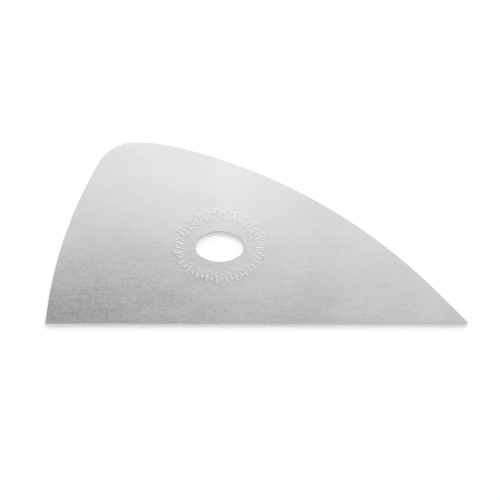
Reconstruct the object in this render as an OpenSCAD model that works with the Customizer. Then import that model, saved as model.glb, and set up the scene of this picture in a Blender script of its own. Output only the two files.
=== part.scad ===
// Flexible pottery rib: one blank of spring steel sheet, lying flat with its marked face up.
// X runs along the straight edge towards the tip, Y runs up to the crown, and Z points out of the marked face.
// The origin is on the underside, in the middle of the blank's length and depth.

/* [Blade] */
// Overall length, from the heel corner to the tip
blade_length = 134.1; // [120:0.1:150]
// Overall depth, from the straight edge to the crown
blade_depth = 57.5; // [52:0.1:64]
// Thickness of the sheet
sheet_t = 0.5; // [0.4:0.05:1]
// Width of the broken edge, which goes round both faces and the hole
edge_break = 0.1; // [0.05:0.01:0.15]

/* [Outline] */
// Distance from the heel end to the crown, the highest point of the outline
crown_x = 28.2; // [25:0.1:32]
// Radius of the shoulder, between the heel edge and the crown
shoulder_r = 13; // [10:0.05:16]
// Radius of the bowed heel edge
heel_edge_r = 128; // [110:1:200]
// Radius of the crest, just past the crown
crest_r = 60; // [50:0.1:80]
// Angle that the crest turns through, in degrees
crest_turn = 13.5; // [8:0.5:20]
// Radius of the heel corner
heel_corner_r = 0.3; // [0.3:0.05:2]
// Radius of the tip
tip_r = 0.3; // [0.3:0.05:2]
// Length of the straight end of the flank, which runs into the tip
tip_run = 14; // [8:0.5:20]

/* [Finger hole] */
// Distance from the heel end to the centre of the hole
hole_x = 55.3; // [50:0.1:60]
// Distance from the straight edge to the centre of the hole
hole_y = 24.4; // [20:0.1:28]
// Length of the oval hole
hole_length = 15.5; // [14:0.1:17]
// Width of the oval hole
hole_width = 9.5; // [8.5:0.1:10.5]
// Radius of the two ends of the oval hole
hole_end_r = 3.45; // [3:0.05:3.8]

/* [Grip marks] */
// Number of stamped marks round the hole, every other one long
mark_count = 46; // [24:2:56]
// Distance from the edge of the hole to the long marks
mark_gap = 3.8; // [3:0.1:4.5]
// Length of a long mark
mark_long = 2.9; // [2.2:0.1:3.4]
// Length of a short mark
mark_short = 1.4; // [1:0.1:2]
// Width of a mark
mark_width = 0.4; // [0.3:0.05:0.5]
// Depth of a mark
mark_depth = 0.08; // [0.05:0.01:0.12]

/* [Hidden] */
$fn = 180;
steel = [0.78, 0.78, 0.78];
// How far a cutter runs past the face that it cuts
overrun = 0.1;
// How much wider a broken edge's cutter is where it ends, past the face
flare = edge_break + overrun;

// The point at distance r from c, at angle a
function polar(c, r, a) = c + r * [cos(a), sin(a)];
// Where two tangents of a circle of radius r round c meet, their normals at angles a and b
function apex(c, r, a, b) = polar(c, r / cos((b - a) / 2), (a + b) / 2);
// The angle at which b is seen from a, from -90 to 270 degrees
function bearing(a, b) = let (t = atan2(b.y - a.y, b.x - a.x)) t < -90 ? t + 360 : t;
// Where a circle of radius p round a meets one of radius q round b, on the right of the way from a to b
function meeting(a, p, b, q) =
    let (
        gap = norm(b - a),
        along = (p * p - q * q + gap * gap) / (2 * gap),
        across = sqrt(p * p - along * along)
    )
    a + (along * (b - a) + across * [b.y - a.y, a.x - b.x]) / gap;

// The outline turns anticlockwise through six arcs. Each runs tangent into the next, the tip by way of the flank's
// straight end, and a straight edge closes it.
tip_c = [blade_length - tip_r, tip_r];
crest_c = [crown_x, blade_depth - crest_r];
shoulder_c = [crown_x, blade_depth - shoulder_r];
heel_corner_c = [heel_corner_r, heel_corner_r];
heel_edge_c = meeting(heel_corner_c, heel_edge_r - heel_corner_r, shoulder_c, heel_edge_r - shoulder_r);
// The long flank leaves the end of the crest in the crest's own direction, and its straight end is tangent to the tip.
crest_normal = 90 - crest_turn;
crest_end = polar(crest_c, crest_r, crest_normal);
reach = tip_c - crest_end;
flank_r = (tip_r * tip_r + tip_run * tip_run - reach * reach)
    / (2 * (reach * polar([0, 0], 1, crest_normal) + tip_r));
flank_c = polar(crest_end, -flank_r, crest_normal);
tip_normal = bearing(flank_c, tip_c) + atan(tip_run / (flank_r - tip_r));
shoulder_normal = bearing(heel_edge_c, shoulder_c);
heel_normal = bearing(heel_edge_c, heel_corner_c);
// Each arc has its centre, its radius, and the angles of its first and last normals.
outline = [
    [tip_c, tip_r, -90, tip_normal],
    [flank_c, flank_r, tip_normal, crest_normal],
    [crest_c, crest_r, crest_normal, 90],
    [shoulder_c, shoulder_r, 90, shoulder_normal],
    [heel_edge_c, heel_edge_r, shoulder_normal, heel_normal],
    [heel_corner_c, heel_corner_r, heel_normal, 270],
];

// The hole is an oval of four arcs about its own centre. Its ends and sides meet end_turn off the long axis.
hole_end_c = [hole_length / 2 - hole_end_r, 0];
hole_side_r = (pow(hole_length / 2, 2) + pow(hole_width / 2, 2) - hole_length * hole_end_r)
    / (hole_width - 2 * hole_end_r);
hole_side_c = [0, hole_width / 2 - hole_side_r];
end_turn = atan2(-hole_side_c.y, hole_end_c.x);

// The marks stand on the same oval, grown by mark_ring, at even steps from its right-hand point.
mark_ring = mark_gap + mark_long / 2;
end_run = (hole_end_r + mark_ring) * end_turn * PI / 180;
side_run = (hole_side_r + mark_ring) * (180 - 2 * end_turn) * PI / 180;
half_run = 2 * end_run + side_run;
// The angle of that oval's normal at length s along its upper half
function upper_normal(s) =
    s < end_run ? end_turn * s / end_run :
    s > half_run - end_run ? 180 - end_turn * (half_run - s) / end_run :
    end_turn + (180 - 2 * end_turn) * (s - end_run) / side_run;
// The point where the upper half's normal has angle a
function upper_point(a) =
    a < end_turn ? polar(hole_end_c, hole_end_r + mark_ring, a) :
    a > 180 - end_turn ? polar(-hole_end_c, hole_end_r + mark_ring, a) :
    polar(hole_side_c, hole_side_r + mark_ring, a);

// The section of a rim at radius r, broken at both faces. side is -1 where metal is inside r, and 1 outside.
function rim(r, side) = [
    [r + side * flare, -overrun],
    [r, edge_break],
    [r, sheet_t - edge_break],
    [r + side * flare, sheet_t + overrun],
];

// A disc with that rim
module rim_disc(r, side) {
    rotate_extrude() polygon(concat([[0, -overrun]], rim(r, side), [[0, sheet_t + overrun]]));
}

// A plate with the given corners, through the sheet and past both faces
module through(corners) {
    translate([0, 0, -overrun]) linear_extrude(sheet_t + 2 * overrun) polygon(corners);
}

// What comes off the stock outside one arc of the outline
module arc_waste(c, r, a, b) {
    difference() {
        through([
            polar(c, r - flare, a),
            polar(c, r + overrun, a),
            apex(c, r + overrun, a, b),
            polar(c, r + overrun, b),
            polar(c, r - flare, b),
        ]);
        translate(c) rim_disc(r, -1);
    }
}

// What comes off the stock along a straight run of the outline, from start, with its normal at angle a
module straight_waste(start, a, run) {
    translate(start)
        rotate([90, 0, a])
            linear_extrude(run)
                polygon(concat(rim(0, -1), [[overrun, sheet_t + overrun], [overrun, -overrun]]));
}

// One arc of the hole with what lies between it and the given base
module hole_sector(base, c, r, a, b) {
    outer = r + flare + overrun;
    intersection() {
        through(concat(base, [polar(c, outer, a), apex(c, outer, a, b), polar(c, outer, b)]));
        translate(c) rim_disc(r, 1);
    }
}

module finger_hole() {
    for (turn = [0, 180])
        rotate(turn) {
            hole_sector([hole_end_c], hole_end_c, hole_end_r, -end_turn, end_turn);
            hole_sector([-hole_end_c, hole_end_c], hole_side_c, hole_side_r, end_turn, 180 - end_turn);
        }
}

// A mark with round ends, along X
module mark(length) {
    straight = length - mark_width;
    square([straight, mark_width], center = true);
    for (end = [-1, 1]) translate([end * straight / 2, 0]) circle(d = mark_width);
}

module mark_ring() {
    pitch = 2 * half_run / mark_count;
    for (i = [0 : mark_count - 1]) {
        s = i * pitch;
        lower = s >= half_run;
        normal = upper_normal(lower ? s - half_run : s);
        rotate(lower ? 180 : 0)
            translate(upper_point(normal))
                rotate(normal)
                    mark(i % 2 == 0 ? mark_long : mark_short);
    }
}

module blade() {
    color(steel)
        translate([-blade_length / 2, -blade_depth / 2, 0])
            difference() {
                linear_extrude(sheet_t)
                    polygon([for (arc = outline) apex(arc[0], arc[1], arc[2], arc[3])]);
                for (arc = outline) arc_waste(arc[0], arc[1], arc[2], arc[3]);
                straight_waste([tip_c.x, 0], -90, tip_c.x - heel_corner_c.x);
                straight_waste(polar(flank_c, flank_r, tip_normal), tip_normal, tip_run);
                translate([hole_x, hole_y]) {
                    finger_hole();
                    translate([0, 0, sheet_t - mark_depth]) linear_extrude(mark_depth + overrun) mark_ring();
                }
            }
}

blade();
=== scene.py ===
"""Looks of a flexible sheet steel pottery rib: its blank, its finishes, and the studio that it lies in.

The blank is one closed mesh, swept round the finger hole: every column of vertices runs from the hole to
the outline over the marked face, and back under it. Sizes are in millimetres until a mesh is made. The
outline is measured from the blank's heel corner, and the finishes are patterned in the frame's own axes.
"""

import logging
import math
from abc import ABC, abstractmethod
from dataclasses import dataclass
from enum import Enum
from typing import ClassVar

import bpy
import numpy as np
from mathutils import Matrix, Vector


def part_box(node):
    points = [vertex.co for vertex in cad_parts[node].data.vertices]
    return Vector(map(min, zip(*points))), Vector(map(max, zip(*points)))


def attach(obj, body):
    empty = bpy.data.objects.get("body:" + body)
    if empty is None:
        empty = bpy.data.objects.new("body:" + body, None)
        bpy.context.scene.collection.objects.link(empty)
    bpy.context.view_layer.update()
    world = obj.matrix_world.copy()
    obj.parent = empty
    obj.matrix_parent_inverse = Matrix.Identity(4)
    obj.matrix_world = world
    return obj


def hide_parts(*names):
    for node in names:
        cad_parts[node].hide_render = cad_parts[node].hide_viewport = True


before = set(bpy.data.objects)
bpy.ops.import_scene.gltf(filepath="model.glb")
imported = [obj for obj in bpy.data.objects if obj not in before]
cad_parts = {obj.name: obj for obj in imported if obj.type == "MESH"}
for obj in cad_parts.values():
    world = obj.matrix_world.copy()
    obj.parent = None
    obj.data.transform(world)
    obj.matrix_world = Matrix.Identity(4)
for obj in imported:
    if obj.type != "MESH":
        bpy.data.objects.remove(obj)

MM = 0.001
UM = 1e-6
FULL_TURN = 2 * math.pi
QUARTER_TURN = math.pi / 2
# The mesh attribute that holds each vertex's distance from the nearest edge, in millimetres
EDGE_DISTANCE = "edge_distance"
# Steps in which the outline and the ring's middle line are walked to find places on them
OUTLINE_STEPS = 16000
RING_STEPS = 7200
# Decimal places to which two columns' angles, or two rows' distances, are told apart
ANGLE_PLACES = 7
DISTANCE_PLACES = 4
# The way in which a noise's shift moves it
SHIFT_WAY = (1.0, 1.7, 0.3)

Triple = tuple[float, float, float]
Socket = bpy.types.NodeSocket

log = logging.getLogger("rib")


class Slot(Enum):
    """The blade's material slots, in order."""

    ROLLED = 0
    BROKEN_EDGE = 1
    STRUCK = 2


def heading(angle: np.ndarray | float) -> np.ndarray:
    """Give the unit vector, or a row of them, at an angle from X."""
    return np.stack([np.cos(angle), np.sin(angle)], axis=-1)


@dataclass(frozen=True)
class Stretch:
    """One stretch of the outline, with its centre and the angle of its normal at either end.

    An arc turns its normal round one centre. A straight run keeps its normal and moves its centre.
    """

    start: np.ndarray
    end: np.ndarray
    radius: float
    first: float
    last: float

    @classmethod
    def arc(cls, centre: np.ndarray, radius: float, first: float, last: float) -> "Stretch":
        """Make an arc from its centre, its radius, and the angles of its first and last normals."""
        return cls(centre, centre, radius, first, last)


@dataclass(frozen=True)
class Outline:
    """The blank's outline, with its heel corner at the origin.

    Six arcs run tangent into each other, the tip's by way of the flank's straight end, and a straight edge
    closes it.
    """

    length: float
    depth: float
    crown_x: float = 28.2
    shoulder_r: float = 13.0
    heel_edge_r: float = 128.0
    crest_r: float = 60.0
    crest_turn: float = math.radians(13.5)
    heel_corner_r: float = 0.3
    tip_r: float = 0.3
    tip_run: float = 14.0

    def arcs(self) -> list[Stretch]:
        """Work out the arcs.

        Returns:
            The arcs, anticlockwise from the tip.
        """
        tip = np.array([self.length - self.tip_r, self.tip_r])
        crest = np.array([self.crown_x, self.depth - self.crest_r])
        shoulder = np.array([self.crown_x, self.depth - self.shoulder_r])
        corner = np.array([self.heel_corner_r, self.heel_corner_r])
        heel = self._meeting(
            corner, self.heel_edge_r - self.heel_corner_r, shoulder, self.heel_edge_r - self.shoulder_r
        )
        crest_normal = QUARTER_TURN - self.crest_turn
        leaving = heading(crest_normal)
        crest_end = crest + self.crest_r * leaving
        reach = tip - crest_end
        flank_r = (self.tip_r**2 + self.tip_run**2 - reach @ reach) / (2 * (reach @ leaving + self.tip_r))
        flank = crest_end - flank_r * leaving
        tip_normal = self._bearing(flank, tip) + math.atan(self.tip_run / (flank_r - self.tip_r))
        shoulder_normal = self._bearing(heel, shoulder)
        heel_normal = self._bearing(heel, corner)
        return [
            Stretch.arc(tip, self.tip_r, -QUARTER_TURN, tip_normal),
            Stretch.arc(flank, flank_r, tip_normal, crest_normal),
            Stretch.arc(crest, self.crest_r, crest_normal, QUARTER_TURN),
            Stretch.arc(shoulder, self.shoulder_r, QUARTER_TURN, shoulder_normal),
            Stretch.arc(heel, self.heel_edge_r, shoulder_normal, heel_normal),
            Stretch.arc(corner, self.heel_corner_r, heel_normal, 3 * QUARTER_TURN),
        ]

    def stretches(self) -> list[Stretch]:
        """List all stretches.

        Returns:
            The straight edge, the tip, the flank's straight end, and the other arcs, anticlockwise.
        """
        arcs = self.arcs()
        tip, flank, corner = arcs[0], arcs[1], arcs[-1]
        edge = Stretch(corner.start * (1, 0), tip.start * (1, 0), 0.0, -QUARTER_TURN, -QUARTER_TURN)
        flank_end = flank.start + (flank.radius - self.tip_r) * heading(tip.last)
        run = Stretch(tip.start, flank_end, self.tip_r, tip.last, tip.last)
        return [edge, tip, run, *arcs[1:]]

    def walk(self, run: np.ndarray) -> tuple[np.ndarray, np.ndarray]:
        """Walk the outline anticlockwise from the heel corner's end of the straight edge.

        Args:
            run: Places from 0 to the number of stretches. One stretch meets the next at a whole number.

        Returns:
            The points there, and the outward normals.
        """
        stretches = self.stretches()
        number = np.minimum(run.astype(int), len(stretches) - 1)
        share = run - number
        points = np.zeros((len(run), 2))
        normals = np.zeros((len(run), 2))
        for index, stretch in enumerate(stretches):
            here = number == index
            normals[here] = heading(stretch.first + share[here] * (stretch.last - stretch.first))
            centres = stretch.start + share[here, None] * (stretch.end - stretch.start)
            points[here] = centres + stretch.radius * normals[here]
        return points, normals

    @staticmethod
    def _bearing(origin: np.ndarray, target: np.ndarray) -> float:
        """Give the angle at which target is seen from origin."""
        return math.atan2(target[1] - origin[1], target[0] - origin[0])

    @staticmethod
    def _meeting(a: np.ndarray, p: float, b: np.ndarray, q: float) -> np.ndarray:
        """Find where two circles meet.

        Args:
            a: Centre of the first circle.
            p: Its radius.
            b: Centre of the second circle.
            q: Its radius.

        Returns:
            The meeting point on the right of the way from a to b.
        """
        step = b - a
        gap = float(np.hypot(*step))
        along = (p * p - q * q + gap * gap) / (2 * gap)
        across = math.sqrt(p * p - along * along)
        return a + (along * step + across * np.array([step[1], -step[0]])) / gap


@dataclass(frozen=True)
class FingerHole:
    """The oval hole, as four arcs about its own centre, which is placed from the heel corner."""

    x: float = 55.3
    y: float = 24.4
    length: float = 15.5
    width: float = 9.5
    end_r: float = 3.45

    @property
    def centre(self) -> np.ndarray:
        """The hole's centre, from the heel corner."""
        return np.array([self.x, self.y])

    @property
    def end_x(self) -> float:
        """How far the end arcs' centres lie from the middle."""
        return self.length / 2 - self.end_r

    @property
    def side_r(self) -> float:
        """The radius of the two sides."""
        square = (self.length / 2) ** 2 + (self.width / 2) ** 2
        return (square - self.length * self.end_r) / (self.width - 2 * self.end_r)

    @property
    def side_drop(self) -> float:
        """How far the side arcs' centres lie past the middle."""
        return self.side_r - self.width / 2

    @property
    def end_turn(self) -> float:
        """The angle off the long axis at which an end meets a side."""
        return math.atan2(self.side_drop, self.end_x)

    def around(self, angle: np.ndarray, grow: np.ndarray | float) -> np.ndarray:
        """Find points of the oval grown outwards, about its own centre.

        Args:
            angle: The angles of the oval's normals at the points.
            grow: How far outside the hole's edge they lie.

        Returns:
            The points.
        """
        across, up = np.cos(angle), np.sin(angle)
        at_end = np.abs(across) > math.cos(self.end_turn)
        radius = np.where(at_end, self.end_r, self.side_r) + grow
        centre_x = np.where(at_end, np.sign(across) * self.end_x, 0.0)
        centre_y = np.where(at_end, 0.0, -np.sign(up) * self.side_drop)
        return np.stack([centre_x + radius * across, centre_y + radius * up], 1)

    def bearing(self, points: np.ndarray) -> np.ndarray:
        """Find the oval's normal that runs through each point.

        Args:
            points: Points outside the hole, about its centre.

        Returns:
            The normals' angles, from 0 to a full turn.
        """
        x, y = np.abs(points[:, 0]), np.abs(points[:, 1])
        from_end = np.arctan2(y, x - self.end_x)
        from_side = np.arctan2(y + self.side_drop, x)
        angle = np.where(from_end < self.end_turn, from_end, from_side)
        angle = np.where(points[:, 0] < 0, math.pi - angle, angle)
        return np.where(points[:, 1] < 0, -angle, angle) % FULL_TURN

    def distance(self, points: np.ndarray) -> np.ndarray:
        """Measure how far points outside the hole lie from its edge."""
        return np.hypot(*(points - self.around(self.bearing(points), 0.0)).T)


@dataclass(frozen=True)
class MarkRing:
    """Short strokes struck into the marked face round the hole, every other one long.

    A stroke's wall slopes over a width of wall, and its striking raised a lip outside it. The mesh has
    columns at column_shares to either side of a stroke's middle line, in halves of its width, rows at
    end_rows, which are measured inwards from a stroke's end, and a row at middle_row to either side of the
    ring's middle line.
    """

    hole: FingerHole
    count: int = 46
    gap: float = 3.8
    long: float = 2.9
    short: float = 1.4
    width: float = 0.4
    depth: float = 0.08
    wall: float = 0.2
    lip: float = 0.017
    lip_width: float = 0.25
    column_shares: tuple[float, ...] = (0.0, 0.3, 0.5, 0.7, 0.85, 1.05, 1.4, 1.8, 2.25, 2.8)
    end_rows: tuple[float, ...] = (-0.8, -0.55, -0.38, -0.22, -0.12, -0.05, 0.0, 0.05, 0.1, 0.15, 0.21, 0.3)
    middle_row: float = 0.2

    @property
    def middle(self) -> float:
        """How far the strokes' middles lie from the hole's edge."""
        return self.gap + self.long / 2

    def columns(self) -> np.ndarray:
        """Place the columns that the strokes need.

        Returns:
            The columns' angles, close together across each stroke, with one halfway to the next stroke.
        """
        pitch = self._measured()[1][-1] / self.count
        shares = np.array(self.column_shares) * self.width / 2 / pitch
        halfway = 0.5
        offsets = np.concatenate([-shares[:0:-1], shares, [halfway]])
        run = (np.arange(self.count)[:, None] + offsets).ravel() % self.count
        return self._normals(run)

    def rows(self) -> np.ndarray:
        """Place the rows that the strokes need.

        Returns:
            The rows' distances from the hole's edge, close together at the strokes' ends.
        """
        inward = np.array(self.end_rows)
        halves = (self.long / 2, self.short / 2)
        ends = [self.middle + side * (half - inward) for side in (-1, 1) for half in halves]
        between = self.middle + np.array([-self.middle_row, self.middle_row])
        return np.unique(np.concatenate([*ends, between]).round(DISTANCE_PLACES))

    def relief(self, points: np.ndarray) -> np.ndarray:
        """Work out how far the struck face stands above the sheet's own face.

        Args:
            points: Points about the hole's centre.

        Returns:
            Heights: below zero in a stroke, above it on the lip that its striking raised.
        """
        number = np.arange(self.count)
        angle = self._normals(number.astype(float))
        middles = self.hole.around(angle, self.middle)
        headings = heading(angle)
        half = np.where(number % 2 == 0, self.long, self.short) / 2 - self.width / 2
        offset = points[:, None, :] - middles
        along = np.abs((offset * headings).sum(2))
        across = offset[..., 0] * headings[:, 1] - offset[..., 1] * headings[:, 0]
        outside = np.hypot(across, np.maximum(along - half, 0)).min(1) - self.width / 2
        share = np.clip(-outside / self.wall, 0, 1)
        groove = self.depth * share * share * (3 - 2 * share)
        crest = (outside - self.lip_width) / self.lip_width
        return self.lip * np.exp(-crest * crest) * (outside > -self.wall) - groove

    def _measured(self) -> tuple[np.ndarray, np.ndarray]:
        """Measure the ring's middle line.

        Returns:
            The angles of its normals over a full turn, and its length up to each.
        """
        angle = np.linspace(0, FULL_TURN, RING_STEPS + 1)
        step = np.diff(self.hole.around(angle, self.middle), axis=0)
        return angle, np.concatenate([[0], np.cumsum(np.hypot(*step.T))])

    def _normals(self, run: np.ndarray) -> np.ndarray:
        """Find the normals at places along the ring's middle line.

        Args:
            run: Places in strokes' pitches, from the ring's right-hand point.

        Returns:
            The normals' angles.
        """
        angle, length = self._measured()
        return np.interp(run / self.count * length[-1], length, angle)


class NodeSheet:
    """A material's or world's node tree, with short ways to add and join nodes."""

    def __init__(self, tree: bpy.types.NodeTree) -> None:
        """Start on a cleared tree."""
        self.tree = tree
        tree.nodes.clear()

    def add(
        self, kind: str, inputs: dict[str | int, object] | None = None, **properties: object
    ) -> bpy.types.Node:
        """Add a node.

        Args:
            kind: The node's type name.
            inputs: Values, or sockets to link from, by input name or number.
            **properties: The node's own properties.

        Returns:
            The node.
        """
        node = self.tree.nodes.new(kind)
        for name, value in properties.items():
            setattr(node, name, value)
        for name, value in (inputs or {}).items():
            if isinstance(value, Socket):
                self.tree.links.new(value, node.inputs[name])
            else:
                node.inputs[name].default_value = value
        return node

    def math(self, operation: str, a: object, b: object = 0.0, c: object = 0.0) -> Socket:
        """Add a Math node and give its result."""
        return self.add("ShaderNodeMath", {0: a, 1: b, 2: c}, operation=operation).outputs[0]

    def weigh(self, base: Socket | float, *parts: tuple[Socket, Socket | float]) -> Socket:
        """Add values to a base.

        Args:
            base: What they are added to.
            *parts: Each value with the weight that it is multiplied by.

        Returns:
            The sum.
        """
        for value, weight in parts:
            base = self.math("MULTIPLY_ADD", value, weight, base)
        return base

    def millimetres(self) -> Socket:
        """Give the point in the row frame, in millimetres."""
        place = self.add("ShaderNodeTexCoord").outputs["Object"]
        return self.add("ShaderNodeVectorMath", {0: place, "Scale": 1 / MM}, operation="SCALE").outputs[0]

    def distance(self, place: Socket, centre: Triple, squeeze: Triple) -> Socket:
        """Measure how far a place lies from a centre.

        Args:
            place: The place.
            centre: The centre.
            squeeze: What each axis is multiplied by first.

        Returns:
            The distance.
        """
        step = self.add("ShaderNodeVectorMath", {0: place, 1: centre}, operation="SUBTRACT").outputs[0]
        step = self.add("ShaderNodeVectorMath", {0: step, 1: squeeze}, operation="MULTIPLY").outputs[0]
        return self.add("ShaderNodeVectorMath", {0: step}, operation="LENGTH").outputs["Value"]

    def grey(self, tone: Socket) -> Socket:
        """Give the grey of that tone."""
        return self.add("ShaderNodeCombineColor", {"Red": tone, "Green": tone, "Blue": tone}).outputs[0]

    def metal(self, tone: Socket, roughness: Socket, height: Socket) -> None:
        """Finish the material as bare metal.

        Args:
            tone: Its grey.
            roughness: Its roughness.
            height: Its relief, in micrometres.
        """
        bump = self.add("ShaderNodeBump", {"Height": height, "Strength": 1.0, "Distance": UM})
        inputs = {
            "Base Color": self.grey(tone),
            "Metallic": 1.0,
            "Roughness": roughness,
            "Normal": bump.outputs["Normal"],
        }
        shader = self.add("ShaderNodeBsdfPrincipled", inputs)
        self.add("ShaderNodeOutputMaterial", {"Surface": shader.outputs[0]})


@dataclass(frozen=True)
class Noise:
    """A pattern of noise, fixed to the rib, with its own count of features to a millimetre along each axis.

    detail is how many finer layers it has, turn how far it is turned about Z, and shift what sets it apart
    from other patterns.
    """

    per_mm: Triple
    detail: float = 2.0
    turn: float = 0.0
    shift: float = 0.0

    def read(self, sheet: NodeSheet, place: Socket) -> Socket:
        """Add the noise.

        Args:
            sheet: The material's nodes.
            place: Where to read it, in millimetres.

        Returns:
            The noise, which swings about zero by less than a half.
        """
        turned = sheet.add("ShaderNodeMapping", {"Vector": place, "Rotation": (0.0, 0.0, self.turn)})
        moved = tuple(self.shift * share for share in SHIFT_WAY)
        inputs = {"Vector": turned.outputs[0], "Scale": self.per_mm, "Location": moved}
        stretched = sheet.add("ShaderNodeMapping", inputs)
        inputs = {"Vector": stretched.outputs[0], "Scale": 1.0, "Detail": self.detail}
        return sheet.math("SUBTRACT", sheet.add("ShaderNodeTexNoise", inputs).outputs["Fac"], 0.5)


@dataclass(frozen=True)
class Ramp:
    """A smooth change from first to last, while what it follows goes from start to end."""

    start: float
    end: float
    first: float = 0.0
    last: float = 1.0

    def read(self, sheet: NodeSheet, value: Socket) -> Socket:
        """Add the ramp.

        Args:
            sheet: The material's or world's nodes.
            value: What it follows.

        Returns:
            The ramp's result.
        """
        inputs = {
            "Value": value,
            "From Min": self.start,
            "From Max": self.end,
            "To Min": self.first,
            "To Max": self.last,
        }
        return sheet.add("ShaderNodeMapRange", inputs, interpolation_type="SMOOTHSTEP").outputs["Result"]


@dataclass(frozen=True)
class LightAndShadePatch:
    """A soft oval patch of painted light or painted shade: painted lighter than round it where its tone is
    above zero, darker where below.
    """

    x: float
    y: float
    reach_x: float
    reach_y: float
    tone: float

    def mask(self, sheet: NodeSheet, place: Socket) -> Socket:
        """Build the patch's mask.

        Args:
            sheet: The material's nodes.
            place: The point in millimetres.

        Returns:
            A mask, 1 in the patch's middle, that fades to nothing at its reach.
        """
        squeeze = (1 / self.reach_x, 1 / self.reach_y, 0.0)
        away = sheet.distance(place, (self.x, self.y, 0.0), squeeze)
        return Ramp(0.0, 1.0, 1.0, 0.0).read(sheet, away)


@dataclass(frozen=True)
class Hairlines:
    """Sparse thin scratches that run one way and lie in patches.

    lines_at and patches_at shift the noises, and line_edge and patch_edge say over which of their values a
    scratch and a patch set in.
    """

    turn: float
    strength: float
    lines_at: float
    patches_at: float
    lines_per_mm: Triple = (0.03, 7.0, 1.0)
    patches_per_mm: Triple = (0.05, 0.05, 0.05)
    line_edge: tuple[float, float] = (0.26, 0.36)
    patch_edge: tuple[float, float] = (0.1, 0.22)

    def mask(self, sheet: NodeSheet, place: Socket) -> Socket:
        """Build the scratches' mask.

        Args:
            sheet: The material's nodes.
            place: The point in millimetres.

        Returns:
            A mask, as high as their strength in a scratch, and nothing elsewhere.
        """
        lines = Noise(self.lines_per_mm, detail=0.0, turn=self.turn, shift=self.lines_at)
        patches = Noise(self.patches_per_mm, detail=1.0, shift=self.patches_at)
        line = Ramp(*self.line_edge, last=self.strength).read(sheet, lines.read(sheet, place))
        patch = Ramp(*self.patch_edge).read(sheet, patches.read(sheet, place))
        return sheet.math("MULTIPLY", line, patch)


class Surface(ABC):
    """A procedural finish, patterned in the row frame."""

    name: ClassVar[str]

    def material(self) -> bpy.types.Material:
        """Build the finish's material.

        Returns:
            The material.
        """
        made = bpy.data.materials.new(self.name)
        made.use_nodes = True
        sheet = NodeSheet(made.node_tree)
        self.pattern(sheet, sheet.millimetres())
        return made

    @abstractmethod
    def pattern(self, sheet: NodeSheet, place: Socket) -> None:
        """Lay the finish's nodes out.

        Args:
            sheet: The material's nodes.
            place: The point in millimetres.
        """


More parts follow.
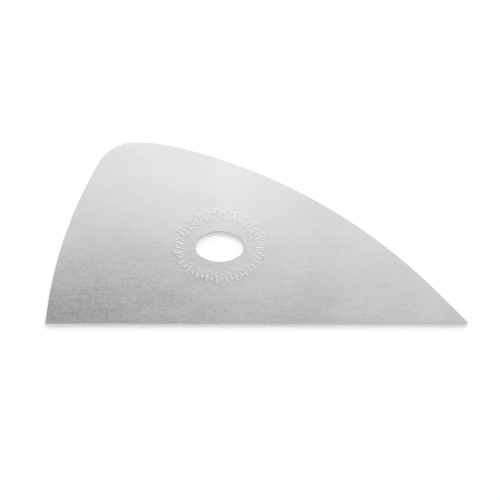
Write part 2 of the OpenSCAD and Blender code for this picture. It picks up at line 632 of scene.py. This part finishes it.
@dataclass(frozen=True)
class RolledSteel(Surface):
    """Satin stainless sheet as it leaves the mill: a lengthwise grain, a fine mottle and a few hairlines.

    Towards the straight edge and the heel its mottle spreads wider and its grey is painted darker, a painted
    shade. A band along the straight edge is painted darker still, painted shade, and soft patches are
    painted lighter and darker, painted light and shade. straight_edge is that edge's Y.
    """

    name: ClassVar[str] = "rolled_steel"

    straight_edge: float
    grain: Noise = Noise((0.12, 2.2, 1.0))
    brush: Noise = Noise((0.35, 9.0, 3.0), shift=11.0)
    mottle: Noise = Noise((1.3, 1.8, 1.3), detail=1.5, shift=23.0)
    cloud: Noise = Noise((0.03, 0.045, 0.05), shift=37.0)
    uneven: Noise = Noise((0.06, 0.09, 0.1), shift=83.0)
    hairlines: tuple[Hairlines, ...] = (
        Hairlines(turn=0.0, strength=1.0, lines_at=60.0, patches_at=62.0),
        Hairlines(turn=math.radians(7), strength=0.6, lines_at=56.4, patches_at=64.0),
        Hairlines(turn=math.radians(-24), strength=0.4, lines_at=54.6, patches_at=65.0),
    )
    worn: Ramp = Ramp(0.0, 0.5, 1.0, 0.0)

    grain_um: float = 0.35
    brush_um: float = 0.117
    mottle_um: float = 4.0
    wave_um: float = 60.0
    hairline_um: float = 0.1

    roughness: float = 0.315
    uneven_roughness: float = 0.05
    worn_roughness: float = -0.01

    tone: float = 0.571
    grain_tone: float = 0.04
    scuffed_grain: float = 0.09
    scuffed_mottle: Ramp = Ramp(28.0, 58.0, 0.27, 0.1485)
    # Where the grey is painted darker towards the straight edge and the heel (painted shade) and the mottle
    # spreads wider
    scuff_and_shade_up: Ramp = Ramp(-30.0, 12.0, 1.0, 0.22)
    scuff_and_shade_along: Ramp = Ramp(-60.0, 30.0, 1.0, 0.65)
    # How much darker the grey is painted there: painted shade
    painted_shade_tone: float = -0.14
    worn_tone: float = -0.02
    # A band along the straight edge, painted darker: painted shade
    straight_edge_shade_width: float = 4.5
    straight_edge_shade_tone: float = -0.018
    # Soft patches painted lighter and darker: painted light and shade for how the light falls across the
    # sheet
    patches: tuple[LightAndShadePatch, ...] = (
        LightAndShadePatch(x=22.0, y=8.0, reach_x=20.0, reach_y=20.0, tone=-0.042),
        LightAndShadePatch(x=19.0, y=-24.0, reach_x=12.0, reach_y=20.0, tone=-0.035),
        LightAndShadePatch(x=-65.0, y=-24.0, reach_x=60.0, reach_y=8.0, tone=-0.030),
        LightAndShadePatch(x=-45.0, y=24.0, reach_x=60.0, reach_y=8.0, tone=-0.022),
        LightAndShadePatch(x=-9.0, y=10.0, reach_x=12.0, reach_y=20.0, tone=0.027),
        LightAndShadePatch(x=-65.0, y=-4.0, reach_x=12.0, reach_y=12.0, tone=0.040),
    )

    def pattern(self, sheet: NodeSheet, place: Socket) -> None:
        """Lay out the relief, the roughness and the tone.

        Args:
            sheet: The material's nodes.
            place: The point in millimetres.
        """
        grain = self.grain.read(sheet, place)
        brush = self.brush.read(sheet, place)
        mottle = self.mottle.read(sheet, place)
        cloud = self.cloud.read(sheet, place)
        hairline: Socket | float = 0.0
        for family in self.hairlines:
            hairline = sheet.math("ADD", family.mask(sheet, place), hairline)
        from_edge = sheet.add("ShaderNodeAttribute", attribute_name=EDGE_DISTANCE).outputs["Fac"]
        worn = self.worn.read(sheet, from_edge)
        height = sheet.weigh(
            0.0,
            (grain, self.grain_um),
            (mottle, self.mottle_um),
            (brush, self.brush_um),
            (cloud, self.wave_um),
            (hairline, -self.hairline_um),
        )
        roughness = sheet.weigh(
            self.roughness,
            (grain, self.uneven_roughness),
            (cloud, self.uneven_roughness),
            (hairline, self.uneven_roughness),
            (worn, self.worn_roughness),
        )
        tone = self._tone(sheet, place, grain, mottle)
        sheet.metal(sheet.weigh(tone, (worn, self.worn_tone)), roughness, height)

    def _tone(self, sheet: NodeSheet, place: Socket, grain: Socket, mottle: Socket) -> Socket:
        """Work out the sheet's tone, with its painted shade and painted light, but for its worn edges.

        Args:
            sheet: The material's nodes.
            place: The point in millimetres.
            grain: The lengthwise grain.
            mottle: The fine mottle.

        Returns:
            The tone.
        """
        point = sheet.add("ShaderNodeSeparateXYZ", {0: place}).outputs
        up = self.scuff_and_shade_up.read(sheet, point["Y"])
        along = self.scuff_and_shade_along.read(sheet, point["X"])
        uneven = sheet.math("ADD", self.uneven.read(sheet, place), 1.0)
        # Painted shade, with a wider mottle, towards the straight edge and the heel
        scuff_and_shade = sheet.math("MULTIPLY", sheet.math("MULTIPLY", up, along), uneven)
        spread = sheet.weigh(
            0.0,
            (mottle, self.scuffed_mottle.read(sheet, point["X"])),
            (grain, self.scuffed_grain),
        )
        # Painted shade along the straight edge
        straight_edge_shade = Ramp(self.straight_edge, self.straight_edge + self.straight_edge_shade_width, 1.0, 0.0)
        return sheet.weigh(
            self.tone,
            (spread, scuff_and_shade),
            (scuff_and_shade, self.painted_shade_tone),
            (grain, self.grain_tone),
            (straight_edge_shade.read(sheet, point["Y"]), self.straight_edge_shade_tone),
            # Patches of painted light and shade
            *((patch.mask(sheet, place), patch.tone) for patch in self.patches),
        )


@dataclass(frozen=True)
class BrokenEdge(Surface):
    """The sheared and tumbled edge, with faint lines across its thickness."""

    name: ClassVar[str] = "broken_edge"

    lines: Noise = Noise((5.0, 5.0, 0.5), detail=3.0)
    pits: Noise = Noise((2.0, 2.0, 2.0), shift=13.0)
    line_um: float = 0.5
    tone: float = 0.55
    tone_spread: float = 0.05
    roughness: float = 0.35
    roughness_spread: float = 0.14

    def pattern(self, sheet: NodeSheet, place: Socket) -> None:
        """Lay out the lines and the pits.

        Args:
            sheet: The material's nodes.
            place: The point in millimetres.
        """
        lines = self.lines.read(sheet, place)
        pits = self.pits.read(sheet, place)
        sheet.metal(
            sheet.weigh(self.tone, (lines, self.tone_spread)),
            sheet.weigh(self.roughness, (pits, self.roughness_spread)),
            sheet.math("MULTIPLY", lines, self.line_um),
        )


@dataclass(frozen=True)
class StruckSteelAndHighlight(Surface):
    """The marks' walls and floors, pressed smooth by the punch. Their grey is lighter than the sheet's, a
    painted highlight for the light that the marks' walls catch.
    """

    name: ClassVar[str] = "struck_steel_and_highlight"

    pressed: Noise = Noise((4.0, 4.0, 4.0), detail=3.0)
    pressed_um: float = 1.0
    # Lighter than the sheet's grey: a painted highlight on the marks
    tone: float = 0.77
    tone_spread: float = 0.06
    roughness: float = 0.35
    roughness_spread: float = 0.12

    def pattern(self, sheet: NodeSheet, place: Socket) -> None:
        """Lay out the punch's own unevenness.

        Args:
            sheet: The material's nodes.
            place: The point in millimetres.
        """
        pressed = self.pressed.read(sheet, place)
        sheet.metal(
            sheet.weigh(self.tone, (pressed, self.tone_spread)),
            sheet.weigh(self.roughness, (pressed, self.roughness_spread)),
            sheet.math("MULTIPLY", pressed, self.pressed_um),
        )


@dataclass(frozen=True)
class WhiteTable(Surface):
    """Matt white paper, which mirrors nothing."""

    name: ClassVar[str] = "white_table"

    fibre: Noise = Noise((0.8, 0.8, 0.8), detail=3.0)
    tone: float = 0.95
    tone_spread: float = 0.01

    def pattern(self, sheet: NodeSheet, place: Socket) -> None:
        """Lay out the paper's fibre.

        Args:
            sheet: The material's nodes.
            place: The point in millimetres.
        """
        tone = sheet.weigh(self.tone, (self.fibre.read(sheet, place), self.tone_spread))
        inputs = {"Base Color": sheet.grey(tone), "Roughness": 1.0, "Specular IOR Level": 0.0}
        shader = sheet.add("ShaderNodeBsdfPrincipled", inputs)
        sheet.add("ShaderNodeOutputMaterial", {"Surface": shader.outputs[0]})


@dataclass
class Blade:
    """The blank itself: a sheet with broken edges, a finger hole and a ring of struck marks.

    The flat faces' first rows lie a little way, support, inside the broken edges, which keeps these crisp.
    collar holds the rows between the hole and its ring of marks, as distances from the hole. A face of a
    mark's wall counts as struck once it is sunk by struck_share of the mark's depth.
    """

    outline: Outline
    hole: FingerHole
    marks: MarkRing
    thickness: float
    edge_break: float = 0.1
    support: float = 0.03
    rim_steps: int = 5
    collar: tuple[float, ...] = (0.4, 1.0, 1.8, 2.7)
    outer_rows: int = 16
    back_rows: int = 7
    corner_columns: int = 12
    struck_share: float = 0.125
    name: str = "blade_sheet"

    @property
    def top(self) -> float:
        """The height of the marked face. Only the marks' lips reach the sheet's full thickness."""
        return self.thickness - self.marks.lip

    def build(self) -> bpy.types.Object:
        """Sweep the sheet's section round the hole and make the object.

        Returns:
            The blade, in the row frame, with its edge distances stored for the finishes.
        """
        angles = self._columns()
        edge, outward = self._edge_points(angles)
        grid = self._section(angles, edge, outward)
        faces = self._faces(*grid.shape[:2])
        from_hole = self.hole.distance(grid[..., :2].reshape(-1, 2))
        from_edge = ((edge - grid[..., :2]) * outward).sum(2).ravel()
        distances = np.minimum(from_hole, from_edge)
        corner = self.hole.centre - np.array([self.outline.length, self.outline.depth]) / 2
        vertices = (grid + np.array([*corner, 0.0])).reshape(-1, 3)

        mesh = bpy.data.meshes.new(self.name)
        mesh.from_pydata((vertices * MM).tolist(), [], faces.tolist())
        slots = self._slots(vertices[faces][..., 2], distances[faces])
        mesh.polygons.foreach_set("material_index", slots.astype(np.int32))
        mesh.polygons.foreach_set("use_smooth", np.ones(len(faces), bool))
        stored = mesh.attributes.new(EDGE_DISTANCE, "FLOAT", "POINT")
        stored.data.foreach_set("value", distances.astype(np.float32))
        mesh.validate()
        mesh.update()
        made = bpy.data.objects.new(self.name, mesh)
        bpy.context.scene.collection.objects.link(made)
        return made

    def dress(self, made: bpy.types.Object, finishes: dict[Slot, Surface]) -> None:
        """Give the blade its finishes.

        Args:
            made: The blade.
            finishes: What fills each of its slots.
        """
        for slot in Slot:
            made.data.materials.append(finishes[slot].material())

    def _columns(self) -> np.ndarray:
        """Place the columns.

        Returns:
            The columns' angles: the marks' own, more round the tip and the heel corner, which are the second
            stretch of the outline and the last, and one where each stretch meets the next.
        """
        share = np.linspace(0, 1, self.corner_columns)
        count = len(self.outline.stretches())
        run = np.concatenate([1 + share, count - 1 + share, np.arange(float(count))])
        points, _ = self.outline.walk(run)
        angles = np.concatenate([self.marks.columns(), self.hole.bearing(points - self.hole.centre)])
        return np.unique(angles.round(ANGLE_PLACES))

    def _edge_points(self, angles: np.ndarray) -> tuple[np.ndarray, np.ndarray]:
        """Find where each column meets the outline.

        Args:
            angles: The columns' angles.

        Returns:
            The points about the hole's centre, and the outline's outward normals there.
        """
        run = np.linspace(0, len(self.outline.stretches()), OUTLINE_STEPS, endpoint=False)
        points, _ = self.outline.walk(run)
        bearing = np.unwrap(self.hole.bearing(points - self.hole.centre))
        wanted = bearing[0] + (angles - bearing[0]) % FULL_TURN
        found, normals = self.outline.walk(np.interp(wanted, bearing, run))
        return found - self.hole.centre, normals

    def _section(self, angles: np.ndarray, edge: np.ndarray, outward: np.ndarray) -> np.ndarray:
        """Sweep the section: out over the marked face from the hole's wall, and back under it.

        Args:
            angles: The columns' angles.
            edge: Each column's point on the outline.
            outward: The outline's outward normals there.

        Returns:
            Vertices by row and column, about the hole's centre.
        """
        rim = [
            (self.edge_break * (1 - math.sin(turn)), self.edge_break * (1 - math.cos(turn)))
            for turn in np.linspace(0, QUARTER_TURN, self.rim_steps + 1)
        ]
        held = self.edge_break + self.support
        end = edge - held * outward
        band = [self.hole.around(angles, grow) for grow in (held, *self.collar, *self.marks.rows())]
        out = np.linspace(0, 1, self.outer_rows + 1)[1:]
        back = np.linspace(1, 0, self.back_rows + 1)
        rows = [
            *((self.hole.around(angles, inset), self.top - drop) for inset, drop in reversed(rim)),
            *((points, self.top + self.marks.relief(points)) for points in band),
            *((band[-1] + share * (end - band[-1]), self.top) for share in out),
            *((edge - inset * outward, self.top - drop) for inset, drop in rim),
            *((edge - inset * outward, drop) for inset, drop in reversed(rim)),
            *((band[0] + share * (end - band[0]), 0.0) for share in back),
            *((self.hole.around(angles, inset), drop) for inset, drop in rim),
        ]
        return np.array(
            [np.column_stack([points, np.broadcast_to(height, len(points))]) for points, height in rows]
        )

    @staticmethod
    def _faces(rows: int, columns: int) -> np.ndarray:
        """Join a grid that closes both ways.

        Args:
            rows: How many rows it has.
            columns: How many columns it has.

        Returns:
            The four corners of each face.
        """
        row = np.arange(rows)[:, None]
        column = np.arange(columns)[None, :]
        next_row = (row + 1) % rows
        next_column = (column + 1) % columns
        corners = [
            row * columns + column,
            next_row * columns + column,
            next_row * columns + next_column,
            row * columns + next_column,
        ]
        return np.stack(corners, axis=-1).reshape(-1, 4)

    def _slots(self, heights: np.ndarray, distances: np.ndarray) -> np.ndarray:
        """Choose each face's slot.

        Args:
            heights: The heights of its corners.
            distances: Their distances from the nearest edge.

        Returns:
            The slots' numbers.
        """
        broken = distances.max(1) < self.edge_break + self.support / 2
        sunk = heights.max(1) < self.top - self.struck_share * self.marks.depth
        struck = sunk & (heights.min(1) > self.thickness / 2)
        return np.select([broken, struck], [Slot.BROKEN_EDGE.value, Slot.STRUCK.value], Slot.ROLLED.value)


@dataclass(frozen=True)
class Glow:
    """A soft patch of what the steel mirrors, brighter or dimmer than the tent round it.

    It lies along way, reaches that far from it, and squeeze draws it in or out along each axis.
    """

    way: Triple
    reach: float
    strength: float
    squeeze: Triple = (1.0, 1.0, 1.0)

    def light(self, sheet: NodeSheet, direction: Socket) -> Socket:
        """Add the patch.

        Args:
            sheet: The world's nodes.
            direction: Where the steel looks.

        Returns:
            The light that it adds there.
        """
        away = sheet.distance(direction, tuple(Vector(self.way).normalized()), self.squeeze)
        return Ramp(0.0, self.reach, self.strength, 0.0).read(sheet, away)


@dataclass(frozen=True)
class Lamp:
    """A far soft lamp that lights the table and casts the rib's shadow. It shows in no reflection.

    share is its part of the table's whiteness. height, turn and width are its angles above the table, round
    it, and across the lamp, in degrees.
    """

    name: str
    share: float
    height: float
    turn: float
    width: float

    def build(self, floor_tone: float) -> bpy.types.Object:
        """Hang the lamp.

        Args:
            floor_tone: How much light the table gives back.

        Returns:
            The lamp, as bright as makes its share of the table's whiteness.
        """
        height = math.radians(self.height)
        data = bpy.data.lights.new(self.name, "SUN")
        data.angle = math.radians(self.width)
        data.energy = self.share * math.pi / (floor_tone * math.sin(height))
        made = bpy.data.objects.new(self.name, data)
        made.rotation_euler = (height - QUARTER_TURN, 0.0, math.radians(self.turn))
        made.visible_glossy = False
        made.visible_camera = False
        bpy.context.scene.collection.objects.link(made)
        return made


@dataclass
class Studio:
    """A white table under soft lamps, a tent for the steel to mirror, and the camera straight above the rib.

    tent gives its light by height, from the walls to the roof. frame_width is what the camera takes in at
    the marked face, and aim is the point that it looks down on.
    """

    thickness: float
    table: WhiteTable = WhiteTable()
    floor_size: float = 4000.0
    floor_gap: float = 0.02
    tent: Ramp = Ramp(0.4, 0.85, 1.15, 0.79)
    glows: tuple[Glow, ...] = (
        Glow(way=(-0.092, 0.212, 1.0), reach=0.254, strength=3.1, squeeze=(0.58, 1.1, 1.0)),
        Glow(way=(0.343, -0.065, 1.0), reach=0.53, strength=0.6),
        Glow(way=(-0.268, -0.145, 1.0), reach=0.608, strength=-0.45, squeeze=(1.12, 0.74, 1.0)),
    )
    lamps: tuple[Lamp, ...] = (
        Lamp("top_lamp", share=0.349, height=90, turn=0, width=23),
        Lamp("back_lamp", share=0.176, height=11, turn=-8, width=24),
        Lamp("right_lamp_low", share=0.178, height=14, turn=-47, width=37),
        Lamp("right_lamp_high", share=0.094, height=42, turn=-55, width=39),
        Lamp("left_lamp_low", share=0.108, height=11, turn=25, width=30),
        Lamp("left_lamp_high", share=0.095, height=30, turn=70, width=36),
        Lamp("front_lamp", share=0.051, height=14, turn=140, width=20),
    )
    frame_width: float = 158.67
    aim: tuple[float, float] = (-2.11, -5.41)
    lens: float = 85.0
    sensor: float = 36.0

    def set_up(self) -> None:
        """Make everything that isn't the rib."""
        self.floor()
        self.world()
        for lamp in self.lamps:
            lamp.build(self.table.tone)
        self.camera()
        bpy.context.scene.view_settings.view_transform = "Standard"

    def floor(self) -> bpy.types.Object:
        """Make the table's white top.

        Returns:
            The floor.
        """
        half = self.floor_size / 2 * MM
        height = -self.floor_gap * MM
        corners = [(-half, -half), (half, -half), (half, half), (-half, half)]
        mesh = bpy.data.meshes.new("floor")
        mesh.from_pydata([(*corner, height) for corner in corners], [], [(0, 1, 2, 3)])
        made = bpy.data.objects.new("floor", mesh)
        bpy.context.scene.collection.objects.link(made)
        mesh.materials.append(self.table.material())
        return made

    def world(self) -> bpy.types.World:
        """Put up what the steel mirrors: a white tent with a bright strip, a light patch and a dim one.

        Returns:
            The scene's world, which lights the steel alone.
        """
        made = bpy.data.worlds.new("studio")
        made.use_nodes = True
        sheet = NodeSheet(made.node_tree)
        direction = sheet.add("ShaderNodeTexCoord").outputs["Generated"]
        height = sheet.add("ShaderNodeSeparateXYZ", {0: direction}).outputs["Z"]
        light = self.tent.read(sheet, height)
        for glow in self.glows:
            light = sheet.math("ADD", light, glow.light(sheet, direction))
        background = sheet.add("ShaderNodeBackground", {"Color": (1.0, 1.0, 1.0, 1.0), "Strength": light})
        sheet.add("ShaderNodeOutputWorld", {"Surface": background.outputs[0]})
        bpy.context.scene.world = made
        made.cycles_visibility.diffuse = False
        return made

    def camera(self) -> bpy.types.Object:
        """Hang the camera straight above the rib, framed as the photograph is.

        Returns:
            The camera.
        """
        data = bpy.data.cameras.new("camera")
        data.lens = self.lens
        data.sensor_width = self.sensor
        made = bpy.data.objects.new("camera", data)
        height = self.thickness + self.frame_width * self.lens / self.sensor
        made.location = Vector((*self.aim, height)) * MM
        bpy.context.scene.collection.objects.link(made)
        bpy.context.scene.camera = made
        return made


def main() -> None:
    """Build the rib round its frame, dress it, light it and note the sizes."""
    logging.basicConfig(level=logging.INFO, format="%(message)s")
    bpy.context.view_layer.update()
    low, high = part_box("blade")
    length, depth, thickness = (high - low) / MM
    hole = FingerHole()
    blade = Blade(Outline(length, depth), hole, MarkRing(hole), thickness)
    sheet = blade.build()
    rolled = RolledSteel(straight_edge=-depth / 2)
    blade.dress(sheet, {Slot.ROLLED: rolled, Slot.BROKEN_EDGE: BrokenEdge(), Slot.STRUCK: StruckSteelAndHighlight()})
    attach(sheet, "root")
    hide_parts("blade")
    faces = len(sheet.data.polygons)
    log.info("%s: %d faces, %.1f x %.1f x %.2f mm", sheet.name, faces, length, depth, thickness)
    studio = Studio(thickness)
    studio.set_up()
    log.info("studio: floor, tent, %d lamps and camera", len(studio.lamps))


if __name__ == "__main__":
    main()
